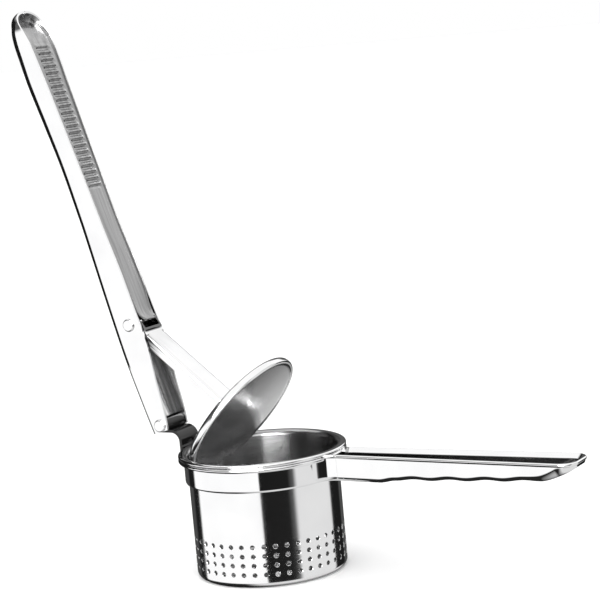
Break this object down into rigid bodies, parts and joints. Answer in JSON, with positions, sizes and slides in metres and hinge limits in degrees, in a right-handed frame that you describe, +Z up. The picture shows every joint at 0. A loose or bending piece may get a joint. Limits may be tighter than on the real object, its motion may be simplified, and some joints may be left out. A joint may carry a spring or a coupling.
{
  "type": "potato ricer",
  "caption": "Long-handled potato ricer: a perforated steel cup in a handled collar, with a hinged lever that swings a plunger disc down into the cup.",
  "frame": {"origin": "centre of the underside of the perforated cup, on the surface that it stands on", "axes": "+X along the lower handle away from the cup, +Z up along the cup's axis, the lever is hinged on the -X side"},
  "size_m": [0.3242, 0.093, 0.3178],
  "materials": {
    "cup_steel": "polished stainless steel with a fine satin grain",
    "handle_steel": "polished stainless steel",
    "strip_steel": "satin stainless steel, pressed with ribs",
    "disc_steel": "brushed in circles, with a polished curled edge",
    "rivet_steel": "bright turned heads"
  },
  "bodies": {
    "cup_and_handle": {"basket_cup": "cup_steel", "lower_handle": "handle_steel", "hinge_bracket": "handle_steel", "hinge_rivet": "rivet_steel"},
    "lever": {"upper_lever": "handle_steel", "grip_strip": "strip_steel", "link_rivet": "rivet_steel"},
    "pusher": {"push_link": "handle_steel", "plunger_disc": "disc_steel"}
  },
  "joints": [
    {"name": "lever_hinge", "type": "hinge", "parent": "cup_and_handle", "child": "lever", "pos_m": [-0.0591, 0, 0.0809], "axis": [0, 1, 0], "range_deg": [0, 70]},
    {"name": "link_pivot", "type": "hinge", "parent": "lever", "child": "pusher", "pos_m": [-0.07385, 0, 0.13807], "axis": [0, 1, 0], "range_deg": [-26.5, 0]}
  ],
  "couplings": [
    {"joint": "link_pivot", "follows": "lever_hinge", "ratio": -0.378}
  ]
}
